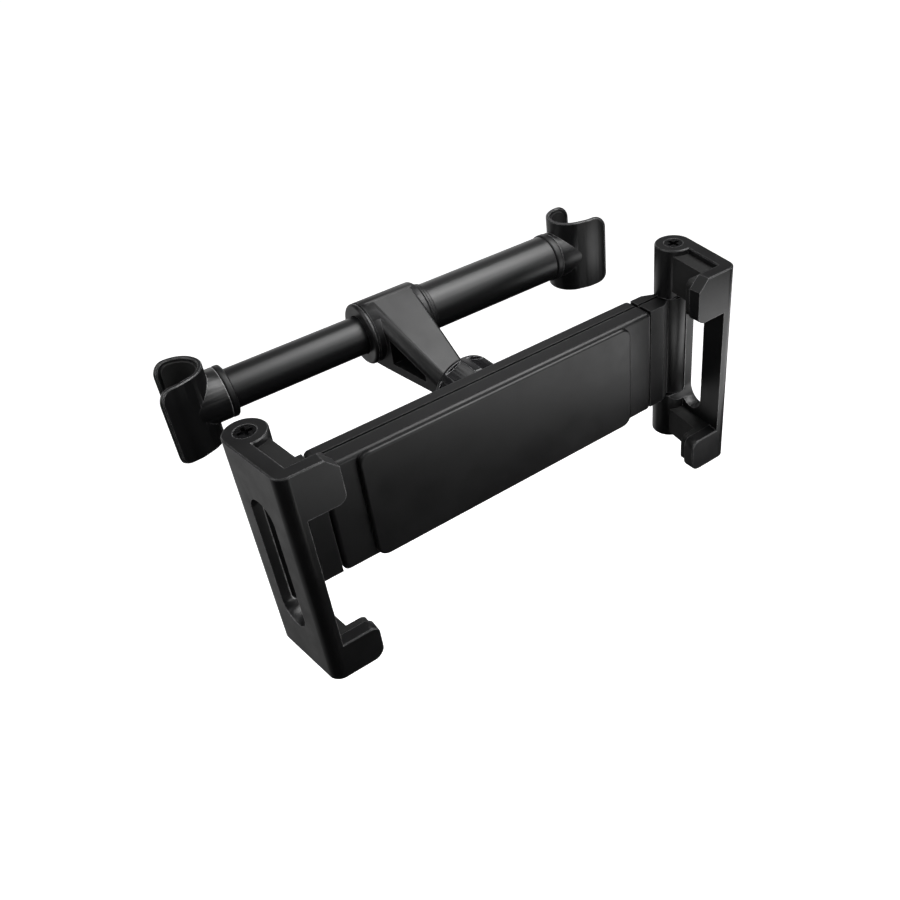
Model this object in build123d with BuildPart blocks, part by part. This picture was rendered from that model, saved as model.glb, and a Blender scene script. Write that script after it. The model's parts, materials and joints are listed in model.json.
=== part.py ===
from build123d import *
import math
import os

# Headrest tablet holder: a telescopic bar with a hook at each end that springs
# onto the two posts of a headrest, a collar arm with a ball joint, and a spring
# clamp whose two folding claws grip a tablet by its short edges.
#
# Frame: millimetres, +Z up along the headrest posts, +X along the bar away from
# the sliding hook, +Y towards the headrest. The tablet faces -Y. The origin is
# the post axis of the hook that is fixed to the outer tube, at bar height.

os.makedirs("parts", exist_ok=True)

# ---------------------------------------------------------------- dimensions
HOOK_SPAN = 164.0            # post axis to post axis
X0 = -HOOK_SPAN / 2          # middle of the collar and of the clamp
XL = -HOOK_SPAN              # post axis of the sliding hook

# telescopic bar
OUT_R, OUT_RI = 9.0, 7.9
INN_R, INN_RI = 7.1, 6.0
RING_R0, RING_R1 = -13.7, -10.6      # trim ring of the fixed hook
RING_L0, RING_L1 = X0 - 66.8, X0 - 69.4

# hooks
HOOK_R = 9.2
HOOK_T = 1.55
HOOK_H = 29.0
LINER_T = 0.72
LINER_H = 26.6
LINER_GAP = 0.03
HOOK_A0, HOOK_SWEEP = 55.0, 197.0
LIP_RUN, LIP_BEND, LIP_FLARE = 3.0, 18.0, 45.0   # straight run, inward bend and flared end of the lip

# collar and arm
COL_R = 11.5
COL_X0, COL_X1 = -16.0, 9.0            # ends of the sleeve from the middle
ARM_L, ARM_TIP_L = -13.2, -7.0         # left edge of the arm at its crease and tip
ARM_RT, ARM_TIP_RT = 7.0, 5.0          # right edge
CREASE_Y = -2.2
ARM_TIP_Y = -37.0
ARM_SLOPE = 0.487

# ball joint
BALL_Y, BALL_Z, BALL_R = -46.4, -9.2, 7.5
NECK_R = 3.2
SEAT_RI, SEAT_RO = 7.56, 8.60
NUT_R = 12.2
NUT_REAR, NUT_FRONT = -41.6, -53.2
BOSS_R = 10.0

# clamp housing
HALF_L = 65.0
Z_TOP, Z_BOT = 3.7, -37.7
Z_MID = (Z_TOP + Z_BOT) / 2
Y_REAR, Y_SPLIT, Y_FRONT = -53.6, -58.9, -66.0
WALL = 1.9
PAD_HALF, PAD_Y = 53.6, -68.0

# slides
Y_S0, Y_S1 = -57.5, -62.5
Y_SM = (Y_S0 + Y_S1) / 2
LANE_U = (-12.5, 1.3)        # upper lane, left slide
LANE_D = (-35.3, -21.5)      # lower lane, right slide
TONGUE_END = -22.0           # inner end of the right tongue from the middle
SPRING_POST = -60.0          # anchor of the right spring from the middle
KNUCKLE_R = 5.3

# claws
HX, HY = 80.6, -60.0         # claw hinge from the middle
BOSS2_R = 6.6
CLAW_TOP, CLAW_BOT = 22.7, -56.7
HOOK_IN_T, HOOK_IN_B = 6.6, -43.2    # lower / upper limit of the two lips
CLAW_SLANT = 8.0            # degrees, arm leans in towards the tablet
ARM_T = 5.0
LIP_Y0, LIP_Y1 = -82.4, -87.0
LIP_X = 66.2
GRIP_T = 5.6
HEAD_R = 3.3
PIN_R = 1.5


def tz(z, x=0.0, y=0.0):
    """Plane that faces up at height z."""
    return Plane(origin=(x, y, z), x_dir=(1, 0, 0), z_dir=(0, 0, 1))


def tx(x, y=0.0, z=0.0):
    """Plane across the bar, local x along +Y and local y along +Z."""
    return Plane(origin=(x, y, z), x_dir=(0, 1, 0), z_dir=(1, 0, 0))


def ty(y, x=0.0, z=0.0):
    """Plane that faces the tablet side, local x along +X and local y along +Z."""
    return Plane(origin=(x, y, z), x_dir=(1, 0, 0), z_dir=(0, -1, 0))


def tzm(z, x=0.0, y=0.0):
    """Plane that faces down at height z, with its local x along -X."""
    return Plane(origin=(x, y, z), x_dir=(-1, 0, 0), z_dir=(0, 0, -1))


MID = Plane(origin=(X0, 0, 0), x_dir=(0, 1, 0), z_dir=(1, 0, 0))

# ---------------------------------------------------------------- bar
with BuildPart() as outer_tube:
    with BuildSketch(tx(X0 - 13.0)):
        Circle(OUT_R)
        Circle(OUT_RI, mode=Mode.SUBTRACT)
    extrude(amount=RING_R0 - (X0 - 13.0))
    chamfer(outer_tube.edges().filter_by(GeomType.CIRCLE).group_by(Axis.X)[-1], 0.25)

with BuildPart() as tube_bush:
    with BuildSketch(tx(X0 - 14.4)):
        Circle(OUT_R - 0.1)
        Circle(INN_R + 0.06, mode=Mode.SUBTRACT)
    extrude(amount=1.4)
    with BuildSketch(tx(X0 - 13.0)):
        Circle(OUT_RI - 0.02)
        Circle(INN_R + 0.06, mode=Mode.SUBTRACT)
    extrude(amount=10.0)

with BuildPart() as stop_ring:
    with BuildSketch(tx(X0 + COL_X1 + 0.1)):
        Circle(OUT_R + 1.1)
        Circle(OUT_R + 0.02, mode=Mode.SUBTRACT)
    extrude(amount=1.3)
    with BuildSketch(tx(X0 + COL_X1 + 1.4)):
        Circle(OUT_R + 0.6)
        Circle(OUT_R + 0.02, mode=Mode.SUBTRACT)
    extrude(amount=1.4)
    fillet(stop_ring.edges().filter_by(GeomType.CIRCLE).filter_by(
        lambda e: e.radius > OUT_R + 0.9 or (e.radius > OUT_R + 0.4 and e.center().X > X0 + COL_X1 + 2.6)), 0.4)

with BuildPart() as inner_tube:
    with BuildSketch(tx(RING_L0)):
        Circle(INN_R)
        Circle(INN_RI, mode=Mode.SUBTRACT)
    extrude(amount=(X0 + 16.0) - RING_L0)
    chamfer(inner_tube.edges().filter_by(GeomType.CIRCLE).group_by(Axis.X)[0], 0.2)

with BuildPart() as tube_plug:
    with BuildSketch(tx(X0 + 16.0)):
        Circle(OUT_RI - 0.08)
    extrude(amount=4.0)
    with BuildSketch(tx(X0 + 16.0)):
        Circle(INN_RI - 0.02)
    extrude(amount=-10.0)
    with BuildSketch(tx(X0 + 20.0)):
        Circle(3.6)
    extrude(amount=-13.0, mode=Mode.SUBTRACT)

# ---------------------------------------------------------------- hooks
# plan of the hook about its post axis: most of a circle open away from the
# bar, with the front wall running out into a flared lip
with BuildPart() as right_hook:
    with BuildSketch(tz(-HOOK_H / 2)):
        with BuildLine():
            arc = CenterArc((0, 0), HOOK_R, HOOK_A0, HOOK_SWEEP)
            run = Line(arc @ 1, (arc @ 1) + (arc % 1) * LIP_RUN)
            bend = JernArc(run @ 1, run % 1, 12.0, LIP_BEND)
            JernArc(bend @ 1, bend % 1, 6.5, -LIP_FLARE)
            offset(amount=HOOK_T, side=Side.LEFT)
        make_face()
    extrude(amount=HOOK_H)
    # rounded corners where the wall ends
    ends = right_hook.edges().filter_by(Plane.XY).filter_by(GeomType.LINE).filter_by(
        lambda e: abs(e.length - HOOK_T) < 0.02)
    fillet(ends, 4.6)
    # neck in line with the bar, as wide as the hook itself
    with BuildSketch(tx(RING_R1)):
        Circle(HOOK_R)
    extrude(amount=-RING_R1)
    with BuildSketch(tz(-HOOK_H / 2 - 1)):
        Circle(HOOK_R - HOOK_T)
    extrude(amount=HOOK_H + 2, mode=Mode.SUBTRACT)
    with BuildSketch(tx(RING_R1)):
        Circle(OUT_RI - 0.02)
    extrude(amount=-9.6)
    rim = right_hook.edges().filter_by(Plane.XY).filter_by(
        lambda e: abs(abs(e.center().Z) - HOOK_H / 2) < 0.01)
    chamfer(rim, 0.3)

with BuildPart() as left_hook:
    with BuildSketch(tzm(HOOK_H / 2, XL)):
        with BuildLine():
            arc2 = CenterArc((0, 0), HOOK_R, HOOK_A0, HOOK_SWEEP)
            run2 = Line(arc2 @ 1, (arc2 @ 1) + (arc2 % 1) * LIP_RUN)
            bend2 = JernArc(run2 @ 1, run2 % 1, 12.0, LIP_BEND)
            JernArc(bend2 @ 1, bend2 % 1, 6.5, -LIP_FLARE)
            offset(amount=HOOK_T, side=Side.LEFT)
        make_face()
    extrude(amount=HOOK_H)
    ends2 = left_hook.edges().filter_by(Plane.XY).filter_by(GeomType.LINE).filter_by(
        lambda e: abs(e.length - HOOK_T) < 0.02)
    fillet(ends2, 4.6)
    with BuildSketch(tx(XL)):
        Circle(HOOK_R)
    extrude(amount=RING_L1 - XL)
    with BuildSketch(tz(-HOOK_H / 2 - 1, XL)):
        Circle(HOOK_R - HOOK_T)
    extrude(amount=HOOK_H + 2, mode=Mode.SUBTRACT)
    with BuildSketch(tx(RING_L1)):
        Circle(INN_RI - 0.02)
    extrude(amount=12.6)
    rim2 = left_hook.edges().filter_by(Plane.XY).filter_by(
        lambda e: abs(abs(e.center().Z) - HOOK_H / 2) < 0.01)
    chamfer(rim2, 0.3)

with BuildPart() as right_hook_liner:
    with BuildSketch(tz(-LINER_H / 2)):
        with BuildLine():
            CenterArc((0, 0), HOOK_R - HOOK_T - LINER_GAP, HOOK_A0 + 12, HOOK_SWEEP - 26)
            offset(amount=LINER_T, side=Side.LEFT)
        make_face()
    extrude(amount=LINER_H)
    ends3 = right_hook_liner.edges().filter_by(Plane.XY).filter_by(GeomType.LINE).filter_by(
        lambda e: abs(e.length - LINER_T) < 0.02)
    fillet(ends3, 3.0)

with BuildPart() as left_hook_liner:
    with BuildSketch(tzm(LINER_H / 2, XL)):
        with BuildLine():
            CenterArc((0, 0), HOOK_R - HOOK_T - LINER_GAP, HOOK_A0 + 12, HOOK_SWEEP - 26)
            offset(amount=LINER_T, side=Side.LEFT)
        make_face()
    extrude(amount=LINER_H)
    ends4 = left_hook_liner.edges().filter_by(Plane.XY).filter_by(GeomType.LINE).filter_by(
        lambda e: abs(e.length - LINER_T) < 0.02)
    fillet(ends4, 3.0)

with BuildPart() as right_neck_ring:
    with BuildSketch(tx(RING_R0 + 0.02)):
        Circle(HOOK_R + 0.25)
        Circle(OUT_RI, mode=Mode.SUBTRACT)
    extrude(amount=RING_R1 - RING_R0 - 0.04)
    fillet(right_neck_ring.edges().filter_by(GeomType.CIRCLE).filter_by(lambda e: e.radius > HOOK_R), 0.7)

with BuildPart() as left_neck_ring:
    with BuildSketch(tx(RING_L1 + 0.02)):
        Circle(HOOK_R + 0.1)
        Circle(INN_RI, mode=Mode.SUBTRACT)
    extrude(amount=RING_L0 - RING_L1 - 0.04)
    fillet(left_neck_ring.edges().filter_by(GeomType.CIRCLE).filter_by(lambda e: e.radius > HOOK_R), 0.8)

# ---------------------------------------------------------------- collar arm
TIP_Z = 11.9 + ARM_SLOPE * (ARM_TIP_Y - CREASE_Y)


def edge_at(crease_x, tip_x, y):
    """Plan position of a straight arm edge at y."""
    return X0 + crease_x + (tip_x - crease_x) * (y - CREASE_Y) / (ARM_TIP_Y - CREASE_Y)


with BuildPart() as collar_arm:
    # wedge seen from the side, then trimmed to its tapering plan
    with BuildSketch(tx(X0 - 17.0)):
        Polygon((5.0, 10.4), (CREASE_Y, 11.9), (ARM_TIP_Y, TIP_Z), (ARM_TIP_Y, -12.6), (-9.0, -12.0), (0.0, -11.4),
                (0.0, 0.0), align=None)
    extrude(amount=30.0)
    with BuildSketch(tz(-20.0)):
        Polygon((X0 - 40, 6.0), (edge_at(ARM_L, ARM_TIP_L, 6.0), 6.0), (edge_at(ARM_L, ARM_TIP_L, ARM_TIP_Y - 1), ARM_TIP_Y - 1),
                (X0 - 40, ARM_TIP_Y - 1), align=None)
        Polygon((X0 + 40, 6.0), (edge_at(ARM_RT, ARM_TIP_RT, 6.0), 6.0), (edge_at(ARM_RT, ARM_TIP_RT, ARM_TIP_Y - 1), ARM_TIP_Y - 1),
                (X0 + 40, ARM_TIP_Y - 1), align=None)
    extrude(amount=45.0, mode=Mode.SUBTRACT)
    # soft upper edges: broad on the left, narrow on the right
    soft = collar_arm.edges().filter_by(GeomType.LINE).filter_by(
        lambda e: e.length > 20 and abs(e.tangent_at(0.5).Z) > 0.3 and abs(e.tangent_at(0.5).Y) > 0.5)
    fillet(soft.sort_by(Axis.X)[0], 4.2)
    soft2 = collar_arm.edges().filter_by(GeomType.LINE).filter_by(
        lambda e: e.length > 20 and abs(e.tangent_at(0.5).Z) > 0.3 and abs(e.tangent_at(0.5).Y) > 0.5)
    fillet(soft2.sort_by(Axis.X)[-1], 1.4)
    # sleeve around the bar
    with BuildSketch(tx(X0 + COL_X0)):
        Circle(COL_R)
    extrude(amount=COL_X1 - COL_X0)
    fillet(collar_arm.edges().filter_by(GeomType.CIRCLE).filter_by(
        lambda e: abs(e.radius - COL_R) < 0.01 and
        (abs(e.center().X - X0 - COL_X0) < 0.01 or abs(e.center().X - X0 - COL_X1) < 0.01)), 1.0)
    # trim groove beside the left end
    with BuildSketch(tx(X0 + COL_X0 + 1.3)):
        Circle(COL_R + 0.4)
        Circle(COL_R - 0.5, mode=Mode.SUBTRACT)
    extrude(amount=0.7, mode=Mode.SUBTRACT)
    # triangular pocket in each flank, leaving a web in the middle
    for web, reach in ((-3.2, -16.0), (1.6, 16.0)):
        with BuildSketch(tx(X0 + web)):
            Polygon((-13.2, 1.6), (-30.5, -6.7), (-30.5, -9.2), (-13.2, -8.6), align=None)
        extrude(amount=reach, mode=Mode.SUBTRACT)
    # bore for the outer tube; the left end closes in around the inner tube
    with BuildSketch(tx(X0 - 14.6)):
        Circle(OUT_R + 0.06)
    extrude(amount=COL_X1 + 16.0, mode=Mode.SUBTRACT)
    with BuildSketch(tx(X0 + COL_X0 - 1)):
        Circle(INN_R + 0.3)
    extrude(amount=4.0, mode=Mode.SUBTRACT)
    # seat of the ball stud
    with BuildSketch(ty(ARM_TIP_Y + 6.0, X0, BALL_Z)):
        Circle(2.3)
    extrude(amount=8.0, mode=Mode.SUBTRACT)

with BuildPart() as ball_stud:
    with BuildSketch(Plane(origin=(X0, BALL_Y, BALL_Z), x_dir=(0, 1, 0), z_dir=(1, 0, 0))):
        with BuildLine():
            a_neck = math.asin((NECK_R - 0.3) / BALL_R)
            p_neck = (BALL_R * math.cos(a_neck), NECK_R - 0.3)
            back = ARM_TIP_Y - BALL_Y
            Polyline((-BALL_R, 0), (back + 5.8, 0), (back + 5.8, 2.28), (back - 0.03, 2.28),
                     (back - 0.03, NECK_R), (back - 0.4, NECK_R - 0.3), p_neck)
            ThreePointArc(p_neck, (0, BALL_R), (-BALL_R, 0))
        make_face()
    revolve(axis=Axis((X0, BALL_Y, BALL_Z), (0, 1, 0)))

with BuildPart() as ball_seat:
    with BuildSketch(Plane(origin=(X0, BALL_Y, BALL_Z), x_dir=(0, 1, 0), z_dir=(1, 0, 0))):
        with BuildLine():
            y_r, y_f = 4.2, -5.0
            po_r = (y_r, math.sqrt(SEAT_RO ** 2 - y_r ** 2))
            pi_r = (y_r, math.sqrt(SEAT_RI ** 2 - y_r ** 2))
            po_f = (y_f, math.sqrt(SEAT_RO ** 2 - y_f ** 2))
            pi_f = (y_f, math.sqrt(SEAT_RI ** 2 - y_f ** 2))
            ThreePointArc(po_r, (0, SEAT_RO), po_f)
            Line(po_f, pi_f)
            ThreePointArc(pi_f, (0, SEAT_RI), pi_r)
            Line(pi_r, po_r)
        make_face()
    revolve(axis=Axis((X0, BALL_Y, BALL_Z), (0, 1, 0)))

# lock nut: domed cavity behind, threaded skirt in front, six broad grip lobes
NUT_CAV = SEAT_RO + 0.12
with BuildPart() as lock_nut:
    with BuildSketch(Plane(origin=(X0, BALL_Y, BALL_Z), x_dir=(0, 1, 0), z_dir=(1, 0, 0))):
        with BuildLine():
            rear = NUT_REAR - BALL_Y
            front = NUT_FRONT - BALL_Y
            skirt = -0.4
            p_mouth = (rear - 0.9, math.sqrt(NUT_CAV ** 2 - (rear - 0.9) ** 2))
            p_in = (skirt, math.sqrt(NUT_CAV ** 2 - skirt ** 2))
            Polyline(p_mouth, (rear, p_mouth[1] + 0.9), (rear, NUT_R - 1.3), (rear - 1.3, NUT_R),
                     (front + 0.5, NUT_R), (front, NUT_R - 0.5), (front, BOSS_R + 0.06), (skirt, BOSS_R + 0.06), p_in)
            ThreePointArc(p_in, (rear / 2, math.sqrt(NUT_CAV ** 2 - (rear / 2) ** 2)), p_mouth)
        make_face()
    revolve(axis=Axis((X0, BALL_Y, BALL_Z), (0, 1, 0)))
    with BuildSketch(ty(NUT_REAR - 2.6, X0, BALL_Z)):
        with PolarLocations(NUT_R + 10.9, 8, start_angle=22.5):
            Circle(12.0)
    extrude(amount=12.0, mode=Mode.SUBTRACT)

# ---------------------------------------------------------------- clamp housing
SCREWS = [(X0 - 54, Z_MID), (X0 - 24, Z_MID), (X0 + 24, Z_MID), (X0 + 54, Z_MID)]
HH = (Z_TOP - Z_BOT)

with BuildPart() as back_cover:
    with BuildSketch(ty(Y_REAR, X0, Z_MID)):
        RectangleRounded(2 * HALF_L, HH, 2.0)
    extrude(amount=Y_REAR - Y_SPLIT)
    fillet(back_cover.faces().sort_by(Axis.Y)[-1].edges(), 1.2)
    with BuildSketch(ty(Y_SPLIT + 0.55, X0, Z_MID)):
        Rectangle(2 * HALF_L + 2, HH + 2)
        RectangleRounded(2 * HALF_L - 1.7, HH - 1.7, 1.3, mode=Mode.SUBTRACT)
    extrude(amount=0.55, mode=Mode.SUBTRACT)
    with BuildSketch(ty(Y_REAR - WALL, X0, Z_MID)):
        Rectangle(2 * (HALF_L - WALL), HH - 2 * WALL)
    extrude(amount=10.0, mode=Mode.SUBTRACT)
    # windows in the ends for the two slides
    with BuildSketch(ty(Y_S0 + 0.3, X0, 0)):
        with Locations((-HALF_L, sum(LANE_U) / 2)):
            Rectangle(12.0, LANE_U[1] - LANE_U[0] + 0.6)
        with Locations((HALF_L, sum(LANE_D) / 2)):
            Rectangle(12.0, LANE_D[1] - LANE_D[0] + 0.6)
    extrude(amount=6.0, mode=Mode.SUBTRACT)
    # floor under the ball socket, screw posts and guide rails
    with BuildSketch(ty(Y_REAR - 1.0, X0, BALL_Z)):
        Circle(10.0)
    extrude(amount=2.2)
    with BuildSketch(ty(Y_REAR - 1.0)):
        with Locations(*SCREWS):
            Circle(2.9)
    extrude(amount=(Y_REAR - 1.0) - Y_SPLIT - 0.05)
    with BuildSketch(ty(Y_REAR - 1.0)):
        with Locations((X0, LANE_U[0] + 2.0), (X0, LANE_D[1] - 2.0)):
            Rectangle(110.0, 1.6)
    extrude(amount=2.7)
    # threaded socket
    with BuildSketch(ty(Y_REAR + 6.4, X0, BALL_Z)):
        Circle(BOSS_R)
    extrude(amount=7.4)
    with BuildSketch(ty(Y_REAR + 7.0, X0, BALL_Z)):
        Circle(9.0)
    extrude(amount=7.0 + 1.9, mode=Mode.SUBTRACT)
    with BuildSketch(ty(Y_REAR + 1.0)):
        with Locations(*SCREWS):
            Circle(2.45)
    extrude(amount=2.6, mode=Mode.SUBTRACT)
    with BuildSketch(ty(Y_REAR + 1.0)):
        with Locations(*SCREWS):
            Circle(1.25)
    extrude(amount=12.0, mode=Mode.SUBTRACT)

with BuildPart() as front_frame:
    with BuildSketch(ty(Y_SPLIT - 0.02, X0, Z_MID)):
        RectangleRounded(2 * HALF_L, HH, 2.0)
    extrude(amount=Y_SPLIT - 0.02 - Y_FRONT)
    fillet(front_frame.faces().sort_by(Axis.Y)[0].edges(), 1.5)
    with BuildSketch(ty(Y_SPLIT - 0.02, X0, Z_MID)):
        Rectangle(2 * HALF_L + 2, HH + 2)
        RectangleRounded(2 * HALF_L - 1.7, HH - 1.7, 1.3, mode=Mode.SUBTRACT)
    extrude(amount=0.55, mode=Mode.SUBTRACT)
    with BuildSketch(ty(Y_SPLIT + 1, X0, Z_MID)):
        Rectangle(2 * (HALF_L - WALL), HH - 2 * WALL)
    extrude(amount=(Y_SPLIT + 1) - (Y_FRONT + WALL), mode=Mode.SUBTRACT)
    with BuildSketch(ty(Y_SPLIT + 1, X0, 0)):
        with Locations((-HALF_L, sum(LANE_U) / 2)):
            Rectangle(12.0, LANE_U[1] - LANE_U[0] + 0.6)
        with Locations((HALF_L, sum(LANE_D) / 2)):
            Rectangle(12.0, LANE_D[1] - LANE_D[0] + 0.6)
    extrude(amount=(Y_SPLIT + 1) - (Y_S1 - 0.3), mode=Mode.SUBTRACT)
    # screw posts, guide rails and spring posts
    with BuildSketch(ty(Y_SPLIT - 0.07)):
        with Locations(*SCREWS):
            Circle(2.9)
    extrude(amount=(Y_SPLIT - 0.07) - (Y_FRONT + 1))
    with BuildSketch(ty(Y_S1 - 0.25)):
        with Locations((X0, LANE_U[0] + 2.0), (X0, LANE_D[1] - 2.0), (X0, LANE_U[1] - 2.0), (X0, LANE_D[0] + 2.0)):
            Rectangle(110.0, 1.6)
    extrude(amount=(Y_S1 - 0.25) - (Y_FRONT + 1))
    with BuildSketch(ty(Y_SM + 2.2)):
        with Locations((X0 - SPRING_POST, sum(LANE_U) / 2), (X0 + SPRING_POST, sum(LANE_D) / 2)):
            Circle(1.2)
    extrude(amount=(Y_SM + 2.2) - (Y_FRONT + 1))
    with BuildSketch(ty(Y_SPLIT + 1)):
        with Locations(*SCREWS):
            Circle(1.05)
    extrude(amount=6.0, mode=Mode.SUBTRACT)

with BuildPart() as front_pad:
    with BuildSketch(ty(Y_FRONT - 0.02, X0, Z_MID)):
        RectangleRounded(2 * PAD_HALF, HH - 0.2, 4.2)
    extrude(amount=Y_FRONT - 0.02 - PAD_Y)
    fillet(front_pad.faces().sort_by(Axis.Y)[0].edges(), 0.9)

with BuildPart() as cover_screws:
    with BuildSketch(ty(Y_REAR - 0.1)):
        with Locations(*SCREWS):
            Circle(2.3)
    extrude(amount=1.46)
    with BuildSketch(ty(Y_REAR - 0.1)):
        with Locations(*SCREWS):
            Circle(1.02)
    extrude(amount=8.6)
    with BuildSketch(ty(Y_REAR + 0.4)):
        with Locations(*SCREWS):
            Rectangle(2.6, 0.6)
            Rectangle(0.6, 2.6)
    extrude(amount=1.3, mode=Mode.SUBTRACT)

# ---------------------------------------------------------------- slides
with BuildPart() as right_slide:
    # end plate, as tall as the housing
    with BuildSketch(ty(Y_S0, X0, Z_MID)):
        with Locations(((HALF_L + 0.4 + HX) / 2, 0)):
            Rectangle(HX - HALF_L - 0.4, HH - 0.6)
    extrude(amount=Y_S0 - Y_S1)
    # block beside the housing, nearly as deep as it, with the same parting line
    with BuildSketch(tz(Z_BOT + 0.25, X0)):
        Polygon((HALF_L + 0.4, Y_REAR - 0.9), (70.5, Y_REAR - 0.9), (76.6, -57.6), (76.6, -62.4), (71.8, Y_FRONT + 0.8),
                (HALF_L + 0.4, Y_FRONT + 0.8), align=None)
    extrude(amount=HH - 0.5)
    for z_face, depth in ((Z_TOP + 1.0, -1.9), (Z_BOT - 1.0, 1.9)):
        with BuildSketch(tz(z_face, X0, Y_SPLIT)):
            with Locations((70.5, 0)):
                Rectangle(12.0, 1.1)
        extrude(amount=depth, mode=Mode.SUBTRACT)
    # tongue that runs in the lower lane
    with BuildSketch(ty(Y_S0, X0, sum(LANE_D) / 2)):
        with Locations(((TONGUE_END + HALF_L + 1.0) / 2, 0)):
            Rectangle(HALF_L + 1.0 - TONGUE_END, LANE_D[1] - LANE_D[0])
    extrude(amount=Y_S0 - Y_S1)
    # tab and post for the spring
    with BuildSketch(ty(Y_SM - 1.2, X0, sum(LANE_D) / 2)):
        with Locations((TONGUE_END - 3.0, 0)):
            Rectangle(8.0, 6.4)
    extrude(amount=(Y_SM - 1.2) - Y_S1)
    with BuildSketch(ty(Y_SM + 2.0, X0, sum(LANE_D) / 2)):
        with Locations((TONGUE_END - 4.0, 0)):
            Circle(1.2)
    extrude(amount=3.6)
    # knuckle of the claw hinge
    with BuildSketch(tz(Z_BOT + 0.3, X0 + HX, HY)):
        Circle(KNUCKLE_R)
    extrude(amount=HH - 0.6)
    # holes for the two hinge screws
    with BuildSketch(tz(Z_TOP + 1, X0 + HX, HY)):
        Circle(PIN_R + 0.02)
    extrude(amount=-13.5, mode=Mode.SUBTRACT)
    with BuildSketch(tz(Z_BOT - 1, X0 + HX, HY)):
        Circle(PIN_R + 0.02)
    extrude(amount=13.5, mode=Mode.SUBTRACT)

# the left slide is the same piece turned half round about the housing's own axis
with BuildPart() as left_slide:
    mirror(mirror(right_slide.part, about=MID, mode=Mode.PRIVATE), about=Plane.XY.offset(Z_MID))

# close-wound extension spring: a row of touching turns with a loop at each end
SP_R, SP_W = 2.1, 0.4
SP_X0 = X0 + SPRING_POST + 2.2
SP_X1 = X0 + TONGUE_END - 4.0 - 3.5
SP_Z = sum(LANE_D) / 2
TURNS = 36
PITCH = (SP_X1 - SP_X0) / TURNS
with BuildPart() as right_spring:
    with BuildSketch(Plane(origin=(SP_X0, Y_SM, SP_Z), x_dir=(1, 0, 0), z_dir=(0, -1, 0))):
        with BuildLine():
            ridge = [(0.0, SP_R)]
            for i in range(TURNS):
                ridge += [((i + 0.3) * PITCH, SP_R + SP_W), ((i + 0.7) * PITCH, SP_R + SP_W), ((i + 1) * PITCH, SP_R)]
            Polyline(*ridge, (TURNS * PITCH, SP_R - SP_W), (0, SP_R - SP_W), close=True)
        make_face()
    revolve(axis=Axis((SP_X0, Y_SM, SP_Z), (1, 0, 0)))
    # eye at each end, and the leg that joins it to the last turn
    for xe, leg in ((X0 + SPRING_POST, 1), (X0 + TONGUE_END - 4.0, -1)):
        run_to = SP_X0 + 0.6 if leg > 0 else SP_X1 - 0.6
        with BuildSketch(ty(Y_SM + 0.4, xe, SP_Z)):
            Circle(2.4)
            Circle(1.5, mode=Mode.SUBTRACT)
        extrude(amount=0.8)
        with BuildSketch(ty(Y_SM + 0.33, 0, SP_Z + 1.9)):
            with Locations(((xe + leg * 0.9 + run_to) / 2, 0)):
                Rectangle(abs(run_to - xe - leg * 0.9), 0.7)
        extrude(amount=0.66)

with BuildPart() as left_spring:
    mirror(mirror(right_spring.part, about=MID, mode=Mode.PRIVATE), about=Plane.XY.offset(Z_MID))

# ---------------------------------------------------------------- claws
SL = math.radians(CLAW_SLANT)
UX, UY = -math.sin(SL), -math.cos(SL)          # along the arm, forwards
NX, NY = math.cos(SL), -math.sin(SL)           # out of the arm's outer face
CX, CY = X0 + HX, HY
T0 = (CX + BOSS2_R * NX, CY + BOSS2_R * NY)     # outer tangent point of the boss


def on_arm(s, inset):
    """Point s forwards along the arm, inset from its outer face."""
    return (T0[0] + s * UX - inset * NX, T0[1] + s * UY - inset * NY)


S_END = (LIP_Y1 - T0[1]) / UY                   # where the outer face meets the lip front
FRONT_OUT = on_arm(S_END, 0)
S_IN = (LIP_Y1 - on_arm(0, ARM_T)[1]) / UY
FRONT_IN = on_arm(S_IN, ARM_T)
S_INB = (LIP_Y0 - on_arm(0, ARM_T)[1]) / UY
BACK_IN = on_arm(S_INB, ARM_T)
SLOT_S0, SLOT_S1 = 4.6, 16.6
SLOT_Z0, SLOT_Z1 = Z_MID - 24.5, Z_MID + 24.5

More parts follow.
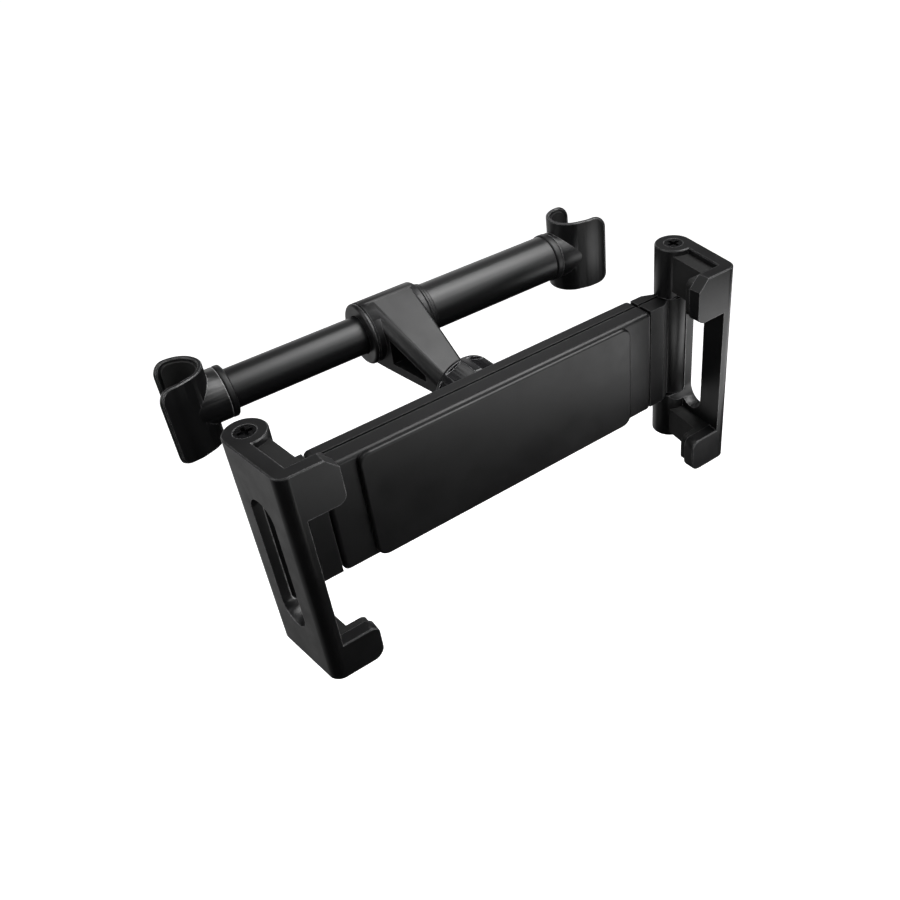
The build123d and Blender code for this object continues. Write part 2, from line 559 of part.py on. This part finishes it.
with BuildPart() as right_claw:
    # side panel with its round boss, full height
    with BuildSketch(tz(CLAW_BOT)):
        Polygon(on_arm(0, 0), FRONT_OUT, FRONT_IN, on_arm(0, ARM_T), (CX, CY), align=None)
        with Locations((CX, CY)):
            Circle(BOSS2_R)
    extrude(amount=CLAW_TOP - CLAW_BOT)
    # lips at the top and the bottom
    for z0, z1 in ((HOOK_IN_T, CLAW_TOP), (CLAW_BOT, HOOK_IN_B)):
        with BuildSketch(tz(z0)):
            Polygon((X0 + LIP_X, LIP_Y1), (X0 + LIP_X, LIP_Y0), BACK_IN, on_arm(S_INB, 1.0), FRONT_OUT, align=None)
        extrude(amount=z1 - z0)
    # rounded outer front edge
    outer = right_claw.edges().filter_by(Axis.Z).filter_by(
        lambda e: abs(e.center().X - FRONT_OUT[0]) < 0.05 and abs(e.center().Y - FRONT_OUT[1]) < 0.05)
    fillet(outer, 4.0)
    # rounded corners of the lips
    tip = right_claw.edges().filter_by(Axis.Y).filter_by(
        lambda e: abs(e.center().X - (X0 + LIP_X)) < 0.05)
    fillet(tip.group_by(Axis.Z)[0], 4.0)
    tip2 = right_claw.edges().filter_by(Axis.Y).filter_by(
        lambda e: abs(e.center().X - (X0 + LIP_X)) < 0.05 and e.center().Z > CLAW_TOP - 0.1)
    chamfer(tip2, 4.0)
    tip3 = right_claw.edges().filter_by(Axis.Y).filter_by(
        lambda e: abs(e.center().X - (X0 + LIP_X)) < 0.05 and abs(e.center().Z - HOOK_IN_T) < 0.1)
    fillet(tip3, 3.0)
    tip4 = right_claw.edges().filter_by(Axis.Y).filter_by(
        lambda e: abs(e.center().X - (X0 + LIP_X)) < 0.05 and abs(e.center().Z - HOOK_IN_B) < 0.1)
    fillet(tip4, 3.0)
    # soft rim around both end faces
    for end_face in (right_claw.faces().sort_by(Axis.Z)[-1], right_claw.faces().sort_by(Axis.Z)[0]):
        chamfer(end_face.outer_wire().edges().filter_by(
            lambda e: e.center().X > X0 + LIP_X + 4.5), 0.35)
    # room for the knuckle: a thin shell stays on the outer and rear side
    with BuildSketch(tz(Z_BOT - 0.1, CX, CY)):
        Circle(KNUCKLE_R + 0.3)
    extrude(amount=HH + 0.2, mode=Mode.SUBTRACT)
    with BuildSketch(tz(Z_BOT - 0.1, CX, CY)):
        with BuildLine():
            a0, a1 = 128.0, 262.0
            rr = BOSS2_R + 2.0
            Polyline((0, 0), (rr * math.cos(math.radians(a0)), rr * math.sin(math.radians(a0))),
                     (-rr * 1.25, 0.4 * rr), (-rr * 1.25, -0.4 * rr),
                     (-0.75 * rr, -0.95 * rr),
                     (rr * math.cos(math.radians(a1)) * 0.86, rr * math.sin(math.radians(a1)) * 0.86), (0, 0))
        make_face()
    extrude(amount=HH + 0.2, mode=Mode.SUBTRACT)
    # long slot through the side panel
    with BuildSketch(Plane(origin=(on_arm((SLOT_S0 + SLOT_S1) / 2, -2)[0], on_arm((SLOT_S0 + SLOT_S1) / 2, -2)[1], Z_MID),
                           x_dir=(UX, UY, 0), z_dir=(NX, NY, 0))):
        SlotOverall(SLOT_Z1 - SLOT_Z0, SLOT_S1 - SLOT_S0, rotation=90)
    extrude(amount=-14.0, mode=Mode.SUBTRACT)
    # screw seats and pivot bores at both ends
    for zf, d in ((CLAW_TOP, -1), (CLAW_BOT, 1)):
        with BuildSketch(tz(zf, CX, CY)):
            Circle(HEAD_R + 0.06)
        extrude(amount=d * 2.0, mode=Mode.SUBTRACT)
        with BuildSketch(tz(zf, CX, CY)):
            Circle(PIN_R + 0.06)
        extrude(amount=d * 24.0, mode=Mode.SUBTRACT)

with BuildPart() as left_claw:
    mirror(right_claw.part, about=MID)

with BuildPart() as right_hinge_screws:
    for zf, d in ((CLAW_TOP - 0.15, -1), (CLAW_BOT + 0.15, 1)):
        with BuildSketch(tz(zf, CX, CY)):
            Circle(HEAD_R)
        extrude(amount=d * 1.8)
        with BuildSketch(tz(zf, CX, CY)):
            Circle(PIN_R)
        extrude(amount=d * 29.0)
        with BuildSketch(tz(zf - d * 0.5, CX, CY)):
            Rectangle(4.5, 1.25)
            Rectangle(1.25, 4.5)
        extrude(amount=d * 1.6, mode=Mode.SUBTRACT)

with BuildPart() as left_hinge_screws:
    mirror(right_hinge_screws.part, about=MID)

# rubber grips: a block on the side wall and a lining behind the lip
S_G0 = 4.2
GRIPS = {"upper": (HOOK_IN_T + 0.4, CLAW_TOP - 2.0), "lower": (CLAW_BOT + 2.0, HOOK_IN_B - 0.4)}
G_BACK = (LIP_Y0 + 0.03 - on_arm(0, ARM_T + 0.03)[1]) / UY
with BuildPart() as right_upper_grip:
    with BuildSketch(tz(GRIPS["upper"][0])):
        Polygon(on_arm(S_G0, ARM_T + 0.03), on_arm(G_BACK, ARM_T + 0.03), (X0 + LIP_X + 0.9, LIP_Y0 + 0.03),
                (X0 + LIP_X + 0.9, LIP_Y0 + 2.4), (on_arm(G_BACK - 3.0, ARM_T + GRIP_T)[0], LIP_Y0 + 2.4),
                on_arm(S_G0, ARM_T + GRIP_T), align=None)
        with Locations((CX, CY)):
            Circle(BOSS2_R + 0.06, mode=Mode.SUBTRACT)
    extrude(amount=GRIPS["upper"][1] - GRIPS["upper"][0])
    ge = right_upper_grip.edges().filter_by(Axis.Y).filter_by(lambda e: abs(e.center().X - (X0 + LIP_X + 0.9)) < 0.05)
    fillet(ge, 2.2)
with BuildPart() as right_lower_grip:
    with BuildSketch(tz(GRIPS["lower"][0])):
        Polygon(on_arm(S_G0, ARM_T + 0.03), on_arm(G_BACK, ARM_T + 0.03), (X0 + LIP_X + 0.9, LIP_Y0 + 0.03),
                (X0 + LIP_X + 0.9, LIP_Y0 + 2.4), (on_arm(G_BACK - 3.0, ARM_T + GRIP_T)[0], LIP_Y0 + 2.4),
                on_arm(S_G0, ARM_T + GRIP_T), align=None)
        with Locations((CX, CY)):
            Circle(BOSS2_R + 0.06, mode=Mode.SUBTRACT)
    extrude(amount=GRIPS["lower"][1] - GRIPS["lower"][0])
    ge2 = right_lower_grip.edges().filter_by(Axis.Y).filter_by(lambda e: abs(e.center().X - (X0 + LIP_X + 0.9)) < 0.05)
    fillet(ge2, 2.2)

with BuildPart() as left_upper_grip:
    mirror(right_upper_grip.part, about=MID)

with BuildPart() as left_lower_grip:
    mirror(right_lower_grip.part, about=MID)

# ---------------------------------------------------------------- files
PIECES = {
    "outer_tube": outer_tube, "tube_bush": tube_bush, "stop_ring": stop_ring,
    "inner_tube": inner_tube, "tube_plug": tube_plug,
    "right_hook": right_hook, "left_hook": left_hook,
    "right_hook_liner": right_hook_liner, "left_hook_liner": left_hook_liner,
    "right_neck_ring": right_neck_ring, "left_neck_ring": left_neck_ring,
    "collar_arm": collar_arm, "ball_stud": ball_stud, "ball_seat": ball_seat,
    "lock_nut": lock_nut, "back_cover": back_cover, "front_frame": front_frame,
    "front_pad": front_pad, "cover_screws": cover_screws,
    "right_slide": right_slide, "left_slide": left_slide,
    "right_spring": right_spring, "left_spring": left_spring,
    "right_claw": right_claw, "left_claw": left_claw,
    "right_hinge_screws": right_hinge_screws, "left_hinge_screws": left_hinge_screws,
    "right_upper_grip": right_upper_grip, "right_lower_grip": right_lower_grip,
    "left_upper_grip": left_upper_grip, "left_lower_grip": left_lower_grip,
}
for name, piece in PIECES.items():
    piece.part.label = name
    export_step(piece.part, "parts/" + name + ".step")
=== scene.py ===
import json
import math

import bpy
from mathutils import Matrix, Vector


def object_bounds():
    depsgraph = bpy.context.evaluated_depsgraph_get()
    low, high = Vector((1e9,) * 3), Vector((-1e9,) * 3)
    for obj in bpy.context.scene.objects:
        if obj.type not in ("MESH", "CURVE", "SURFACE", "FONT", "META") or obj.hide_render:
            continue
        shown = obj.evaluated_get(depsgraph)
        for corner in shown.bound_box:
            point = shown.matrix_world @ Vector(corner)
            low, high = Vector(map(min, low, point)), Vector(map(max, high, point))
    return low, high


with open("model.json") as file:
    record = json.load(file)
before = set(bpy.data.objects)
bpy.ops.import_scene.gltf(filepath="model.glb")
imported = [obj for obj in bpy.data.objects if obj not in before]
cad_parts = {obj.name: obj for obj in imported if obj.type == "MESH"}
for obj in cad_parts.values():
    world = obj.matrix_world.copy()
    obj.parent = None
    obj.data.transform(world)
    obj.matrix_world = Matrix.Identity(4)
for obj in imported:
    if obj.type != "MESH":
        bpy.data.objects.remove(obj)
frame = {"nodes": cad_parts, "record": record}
CAD_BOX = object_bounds()
NODES = frame["nodes"]
X0 = -0.082                      # middle of the clamp and the collar
MM = 0.001


# ------------------------------------------------------------------ materials
def new_material(name):
    m = bpy.data.materials.new(name)
    m.use_nodes = True
    nt = m.node_tree
    nt.nodes.clear()
    out = nt.nodes.new("ShaderNodeOutputMaterial")
    bsdf = nt.nodes.new("ShaderNodeBsdfPrincipled")
    nt.links.new(bsdf.outputs["BSDF"], out.inputs["Surface"])
    return m, nt, bsdf


def noise(nt, coord, scale, detail=3.0, rough=0.55, stretch=None):
    vec = coord
    if stretch is not None:
        mp = nt.nodes.new("ShaderNodeMapping")
        mp.inputs["Scale"].default_value = stretch
        nt.links.new(coord, mp.inputs["Vector"])
        vec = mp.outputs["Vector"]
    n = nt.nodes.new("ShaderNodeTexNoise")
    n.inputs["Scale"].default_value = scale
    n.inputs["Detail"].default_value = detail
    n.inputs["Roughness"].default_value = rough
    nt.links.new(vec, n.inputs["Vector"])
    return n.outputs["Fac"]


def remap(nt, fac, lo, hi, a=0.3, b=0.7):
    r = nt.nodes.new("ShaderNodeMapRange")
    r.inputs["From Min"].default_value = a
    r.inputs["From Max"].default_value = b
    r.inputs["To Min"].default_value = lo
    r.inputs["To Max"].default_value = hi
    nt.links.new(fac, r.inputs["Value"])
    return r.outputs["Result"]


def mix_color(nt, fac, c1, c2):
    mx = nt.nodes.new("ShaderNodeMix")
    mx.data_type = "RGBA"
    nt.links.new(fac, mx.inputs["Factor"])
    for sock, c in ((mx.inputs["A"], c1), (mx.inputs["B"], c2)):
        if isinstance(c, tuple):
            sock.default_value = (*c, 1.0)
        else:
            nt.links.new(c, sock)
    return mx.outputs["Result"]


def edge_glint_mask(nt, radius):
    """1 on rounded outer edges, which get a painted highlight, 0 on open faces."""
    bev = nt.nodes.new("ShaderNodeBevel")
    bev.samples = 4
    bev.inputs["Radius"].default_value = radius
    geo = nt.nodes.new("ShaderNodeNewGeometry")
    dot = nt.nodes.new("ShaderNodeVectorMath")
    dot.operation = "DOT_PRODUCT"
    nt.links.new(bev.outputs["Normal"], dot.inputs[0])
    nt.links.new(geo.outputs["True Normal"], dot.inputs[1])
    return remap(nt, dot.outputs["Value"], 1.0, 0.0, 0.82, 0.965)


def plastic(name, base, rough, grain=2600.0, bump=0.06, spread=0.05, specular=0.5, edge=0.35, tint=0.18,
            coat=0.0, coat_rough=0.2, stretch=None):
    """Moulded plastic: fine spark-eroded grain, uneven gloss, and a painted highlight that lightens the rounded edges.
    """
    m, nt, bsdf = new_material(name)
    tc = nt.nodes.new("ShaderNodeTexCoord")
    obj = tc.outputs["Object"]
    fine = noise(nt, obj, grain, 2.0, 0.5, stretch)
    broad = noise(nt, obj, 38.0, 3.0, 0.6)
    lo = tuple(c * (1.0 - tint) for c in base)
    hi = tuple(c * (1.0 + tint) for c in base)
    col = mix_color(nt, remap(nt, broad, 0.0, 1.0), lo, hi)
    # painted highlight: rounded edges are lightened towards a pale colour in place of the glints they catch, broken up
    # by noise
    if edge > 0:
        em = edge_glint_mask(nt, 0.0005)
        edge_glint_colour = tuple(min(1.0, c * (1.0 + 8.0 * edge) + 0.24 * edge) for c in base)
        glint_breakup = noise(nt, obj, 420.0, 3.0, 0.7)
        mul = nt.nodes.new("ShaderNodeMath")
        mul.operation = "MULTIPLY"
        nt.links.new(em, mul.inputs[0])
        nt.links.new(remap(nt, glint_breakup, 0.35, 1.0, 0.35, 0.65), mul.inputs[1])
        col = mix_color(nt, mul.outputs["Value"], col, edge_glint_colour)
    nt.links.new(col, bsdf.inputs["Base Color"])
    rg = noise(nt, obj, 95.0, 4.0, 0.65)
    nt.links.new(remap(nt, rg, rough - spread, rough + spread), bsdf.inputs["Roughness"])
    bm = nt.nodes.new("ShaderNodeBump")
    bm.inputs["Strength"].default_value = bump
    bm.inputs["Distance"].default_value = 0.0001
    nt.links.new(fine, bm.inputs["Height"])
    nt.links.new(bm.outputs["Normal"], bsdf.inputs["Normal"])
    bsdf.inputs["Specular IOR Level"].default_value = specular
    if coat > 0:
        bsdf.inputs["Coat Weight"].default_value = coat
        bsdf.inputs["Coat Roughness"].default_value = coat_rough
    return m


def metal(name, base, rough, scale=900.0, stretch=(1.0, 1.0, 14.0), bump=0.08, spread=0.08):
    m, nt, bsdf = new_material(name)
    tc = nt.nodes.new("ShaderNodeTexCoord")
    obj = tc.outputs["Object"]
    grain = noise(nt, obj, scale, 3.0, 0.6, stretch)
    broad = noise(nt, obj, 120.0, 3.0, 0.6)
    lo = tuple(c * 0.8 for c in base)
    hi = tuple(min(1.0, c * 1.18) for c in base)
    nt.links.new(mix_color(nt, remap(nt, broad, 0.0, 1.0), lo, hi), bsdf.inputs["Base Color"])
    nt.links.new(remap(nt, grain, rough - spread, rough + spread), bsdf.inputs["Roughness"])
    bm = nt.nodes.new("ShaderNodeBump")
    bm.inputs["Strength"].default_value = bump
    bm.inputs["Distance"].default_value = 0.00008
    nt.links.new(grain, bm.inputs["Height"])
    nt.links.new(bm.outputs["Normal"], bsdf.inputs["Normal"])
    bsdf.inputs["Metallic"].default_value = 1.0
    return m


BLACK = (0.0045, 0.0045, 0.0049)
# edge= sets how strongly each material's rounded edges are lightened by painted highlight
MATERIALS = {
    "tube_paint": plastic("tube_paint", (0.006, 0.006, 0.0065), 0.345, grain=1500.0, bump=0.02, spread=0.02, edge=0.2,
                          specular=0.55),
    "guide_plastic": plastic("guide_plastic", (0.035, 0.035, 0.036), 0.5, edge=0.0),
    "ring_plastic": plastic("ring_plastic", (0.006, 0.006, 0.0065), 0.42, edge=0.2),
    "hook_plastic": plastic("hook_plastic", BLACK, 0.36, grain=2400.0, bump=0.05, edge=1.5),
    "rubber": plastic("rubber", (0.010, 0.010, 0.010), 0.62, grain=1700.0, bump=0.16, specular=0.35, edge=0.15),
    "arm_plastic": plastic("arm_plastic", BLACK, 0.38, grain=2400.0, bump=0.06, edge=0.5),
    "ball_metal": metal("ball_metal", (0.16, 0.16, 0.17), 0.28),
    "nut_plastic": plastic("nut_plastic", (0.010, 0.010, 0.011), 0.24, grain=2200.0, bump=0.03, edge=1.8, specular=0.6),
    "shell_plastic": plastic("shell_plastic", BLACK, 0.39, grain=2600.0, bump=0.06, edge=0.45),
    "pad_rubber": plastic("pad_rubber", (0.0042, 0.0042, 0.0045), 0.36, grain=2900.0, bump=0.07, specular=0.45, edge=0.3),
    "claw_plastic": plastic("claw_plastic", BLACK, 0.37, grain=2500.0, bump=0.05, edge=1.0),
    "screw_steel": metal("screw_steel", (0.05, 0.05, 0.053), 0.30),
    "spring_steel": metal("spring_steel", (0.5, 0.5, 0.51), 0.28),
}
SLOT_OF = {s["node"]: s["material_slot"] for s in frame["record"]["subparts"]}

# narrow rounded edges on the moulded pieces, so that they catch the light
BEVEL = {
    "back_cover": 0.30, "front_frame": 0.30, "collar_arm": 0.45, "right_slide": 0.35, "left_slide": 0.35,
    "right_claw": 0.40, "left_claw": 0.40, "right_hook": 0.25, "left_hook": 0.25, "lock_nut": 0.30,
    "right_upper_grip": 0.50, "right_lower_grip": 0.50, "left_upper_grip": 0.50, "left_lower_grip": 0.50,
}
for name, obj in NODES.items():
    mat = MATERIALS[SLOT_OF[name]]
    obj.data.materials.clear()
    obj.data.materials.append(mat)
    if name in BEVEL:
        weld = obj.modifiers.new("join", "WELD")
        weld.merge_threshold = 0.000004
        bev = obj.modifiers.new("edge", "BEVEL")
        bev.width = BEVEL[name] * MM
        bev.segments = 2
        bev.limit_method = "ANGLE"
        bev.angle_limit = math.radians(38.0)
        bev.harden_normals = True
        bev.use_clamp_overlap = True


# ------------------------------------------------------------------ floor and light
def plane(name, half, z):
    me = bpy.data.meshes.new(name)
    me.from_pydata([(-half, -half, z), (half, -half, z), (half, half, z), (-half, half, z)], [], [(0, 1, 2, 3)])
    ob = bpy.data.objects.new(name, me)
    bpy.context.scene.collection.objects.link(ob)
    return ob


floor = plane("floor", 8.0, CAD_BOX[0][2] - 0.40)
fm, fnt, fb = new_material("floor_pale")
ftc = fnt.nodes.new("ShaderNodeTexCoord")
fn = noise(fnt, ftc.outputs["Object"], 6.0, 2.0, 0.5)
fnt.links.new(mix_color(fnt, fn, (0.90, 0.90, 0.90), (0.93, 0.93, 0.93)), fb.inputs["Base Color"])
fb.inputs["Roughness"].default_value = 0.9
fb.inputs["Specular IOR Level"].default_value = 0.0
fb.inputs["Emission Color"].default_value = (1, 1, 1, 1)
fb.inputs["Emission Strength"].default_value = 1.0
floor.data.materials.append(fm)
floor.visible_glossy = False
floor.visible_diffuse = False

# pale surround that only the camera sees
me = bpy.data.meshes.new("surround")
ring_n, dome = 48, []
for k, (rad, z) in enumerate(((7.9, -0.6), (7.9, 3.0), (5.5, 6.0), (0.01, 7.2))):
    dome += [(rad * math.cos(2 * math.pi * i / ring_n), rad * math.sin(2 * math.pi * i / ring_n), z) for i in range(ring_n)]
faces = [(k * ring_n + i, k * ring_n + (i + 1) % ring_n, (k + 1) * ring_n + (i + 1) % ring_n, (k + 1) * ring_n + i)
         for k in range(3) for i in range(ring_n)]
me.from_pydata(dome, [], faces)
surround = bpy.data.objects.new("surround", me)
bpy.context.scene.collection.objects.link(surround)
sm, snt, sb = new_material("surround_pale")
stc = snt.nodes.new("ShaderNodeTexCoord")
sn = noise(snt, stc.outputs["Object"], 0.6, 2.0, 0.5)
snt.links.new(mix_color(snt, sn, (0.985, 0.985, 0.985), (1.0, 1.0, 1.0)), sb.inputs["Emission Color"])
sb.inputs["Base Color"].default_value = (0, 0, 0, 1)
sb.inputs["Emission Strength"].default_value = 1.0
me.materials.append(sm)
surround.visible_glossy = False
surround.visible_diffuse = False
surround.visible_shadow = False

world = bpy.data.worlds.new("studio")
bpy.context.scene.world = world
world.use_nodes = True
wnt = world.node_tree
wnt.nodes.clear()
wo = wnt.nodes.new("ShaderNodeOutputWorld")
wb = wnt.nodes.new("ShaderNodeBackground")
wg = wnt.nodes.new("ShaderNodeTexCoord")
wsep = wnt.nodes.new("ShaderNodeSeparateXYZ")
wnt.links.new(wg.outputs["Generated"], wsep.inputs["Vector"])


def ramp(sock, a, b, lo, hi):
    r = wnt.nodes.new("ShaderNodeMapRange")
    r.interpolation_type = "SMOOTHSTEP"
    r.inputs["From Min"].default_value = a
    r.inputs["From Max"].default_value = b
    r.inputs["To Min"].default_value = lo
    r.inputs["To Max"].default_value = hi
    wnt.links.new(sock, r.inputs["Value"])
    return r.outputs["Result"]


def wmath(op, a, b):
    n = wnt.nodes.new("ShaderNodeMath")
    n.operation = op
    for k, v in enumerate((a, b)):
        if isinstance(v, float):
            n.inputs[k].default_value = v
        else:
            wnt.links.new(v, n.inputs[k])
    return n.outputs["Value"]


low_back = wmath("MULTIPLY", ramp(wsep.outputs["Y"], 0.52, 0.85, 0.0, 0.60), ramp(wsep.outputs["Z"], -0.1, 0.35, 1.0, 0.0))
overhead = ramp(wsep.outputs["Z"], 0.25, 1.0, 0.0, 0.04)
glow = wmath("ADD", wmath("ADD", low_back, overhead), 0.008)
wnt.links.new(glow, wb.inputs["Strength"])
wb.inputs["Color"].default_value = (1, 1, 1, 1)
wnt.links.new(wb.outputs["Background"], wo.inputs["Surface"])

AIM = Vector((X0, -0.035, -0.012))


def softbox(name, loc, size_x, size_y, power, aim=AIM):
    ld = bpy.data.lights.new(name, "AREA")
    ld.shape = "RECTANGLE"
    ld.size, ld.size_y = size_x, size_y
    ld.energy = power
    ob = bpy.data.objects.new(name, ld)
    bpy.context.scene.collection.objects.link(ob)
    ob.location = loc
    ob.rotation_euler = (Vector(aim) - Vector(loc)).to_track_quat("-Z", "Y").to_euler()
    ob.visible_camera = False
    return ob


def box(name, direction, strength, size=0.42, far=0.7):
    """Square softbox seen from the object in the given direction."""
    return softbox(name, AIM + far * Vector(direction).normalized(), size, size, strength * math.pi * size * size)


# two boxes overhead to the right: bright arm top and a broad band along the tubes
box("key_top", (0.43, -0.07, 0.90), 5.3)
box("key_front", (0.43, -0.46, 0.78), 4.2)
# overhead and side boxes on the left
box("left_top", (-0.40, 0.20, 0.90), 1.8)
box("left_side", (-0.90, 0.20, 0.40), 1.9)
box("left_front", (-0.50, -0.70, 0.50), 1.2)
# front boxes, weaker towards the floor
box("front_high", (0.44, -0.80, 0.40), 1.1)
box("front_mid", (0.45, -0.89, 0.00), 0.25)
box("front_low", (0.45, -0.70, -0.56), 0.05)
# behind: upward faces of the housing, rear rims
box("back_mid", (0.43, 0.67, 0.60), 0.25)
box("back_low", (0.40, 0.90, 0.20), 0.55)
# low card in front of the pad, fading downwards, and a low card behind the left claw
softbox("pad_card", Vector((X0 + 0.062, -0.158, -0.046)), 0.30, 0.052, 0.098, Vector((X0 + 0.01, -0.066, 0.0)))
softbox("left_card", Vector((X0 - 0.30, 0.10, -0.24)), 0.26, 0.26, 0.040, Vector((X0 - 0.086, -0.075, -0.02)))

# ------------------------------------------------------------------ camera
RIGHT = Vector((0.802614, -0.590865, -0.081784))
DOWN = Vector((-0.407543, -0.443071, -0.798497))
AHEAD = Vector((0.435568, 0.674216, -0.596418))
CAM_AT = Vector((X0 - 0.132751, -0.274263, 0.168219))
FOCAL, PPX, PPY = 929.855, 511.161, 431.158
cd = bpy.data.cameras.new("camera")
cam = bpy.data.objects.new("camera", cd)
bpy.context.scene.collection.objects.link(cam)
rot = Matrix((RIGHT, -DOWN, -AHEAD)).transposed()
cam.matrix_world = Matrix.Translation(CAM_AT) @ rot.to_4x4()
cd.sensor_fit = "HORIZONTAL"
cd.sensor_width = 36.0
cd.lens = FOCAL / 900.0 * 36.0
cd.shift_x = (450.0 - PPX) / 900.0
cd.shift_y = (PPY - 450.0) / 900.0
cd.clip_start = 0.01
bpy.context.scene.camera = cam
bpy.context.scene.view_settings.view_transform = "Standard"
